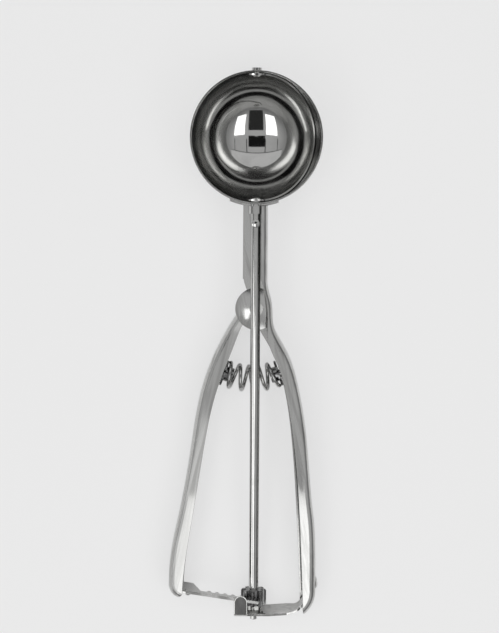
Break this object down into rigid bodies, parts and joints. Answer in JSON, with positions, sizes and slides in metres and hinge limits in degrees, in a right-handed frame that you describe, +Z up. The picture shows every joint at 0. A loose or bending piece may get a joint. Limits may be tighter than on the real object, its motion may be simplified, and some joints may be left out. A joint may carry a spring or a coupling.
{
  "type": "lever ice cream scoop",
  "caption": "Squeeze-handle ice cream scoop: round bowl with a sweeping scraper, driven by a rod, pinion and rack.",
  "frame": {"origin": "centre of the scoop's footprint at the height of the surface that it rests on", "axes": "+Y runs from the handle ends to the bowl, +Z is up out of the bowl's mouth, +X is toward the fixed handle"},
  "size_m": [0.0644, 0.2358, 0.0349],
  "materials": {
    "mirror_steel": "mirror-polished stainless steel",
    "pressed_steel": "polished stainless steel sheet",
    "satin_steel": "brushed stainless steel",
    "spring_steel": "bright spring wire"
  },
  "bodies": {
    "frame": {"bowl": "mirror_steel", "bowl_saddle": "pressed_steel", "neck_bush": "satin_steel", "fixed_handle": "pressed_steel", "pivot_rivet": "satin_steel", "pivot_washer": "satin_steel", "rack_bracket": "satin_steel", "bracket_rivets": "satin_steel", "spring": "spring_steel", "spring_seat_fixed": "satin_steel"},
    "squeeze_handle": {"moving_handle": "pressed_steel", "spring_seat_moving": "satin_steel", "rack": "satin_steel", "rack_rivets": "satin_steel"},
    "drive": {"rod": "pressed_steel", "coupling_pin": "pressed_steel", "pinion": "pressed_steel", "pinion_spacer": "satin_steel", "rod_washer": "satin_steel", "scraper": "mirror_steel", "scraper_pin": "pressed_steel"}
  },
  "joints": [
    {"name": "handle_squeeze", "type": "hinge", "parent": "frame", "child": "squeeze_handle", "pos_m": [0.00475, 0.01638, 0.02053], "axis": [0, -0.1026, 0.9947], "range_deg": [0, 5.25], "stiffness_Nm_per_rad": 11.9, "springref_deg": -3.76, "deforming": ["spring"]},
    {"name": "drive_spin", "type": "hinge", "parent": "frame", "child": "drive", "pos_m": [0.00425, 0.0888, 0.028], "axis": [0, 0.9947, 0.1026], "range_deg": [0, 150]}
  ],
  "couplings": [
    {"joint": "drive_spin", "follows": "handle_squeeze", "ratio": 28.571}
  ]
}
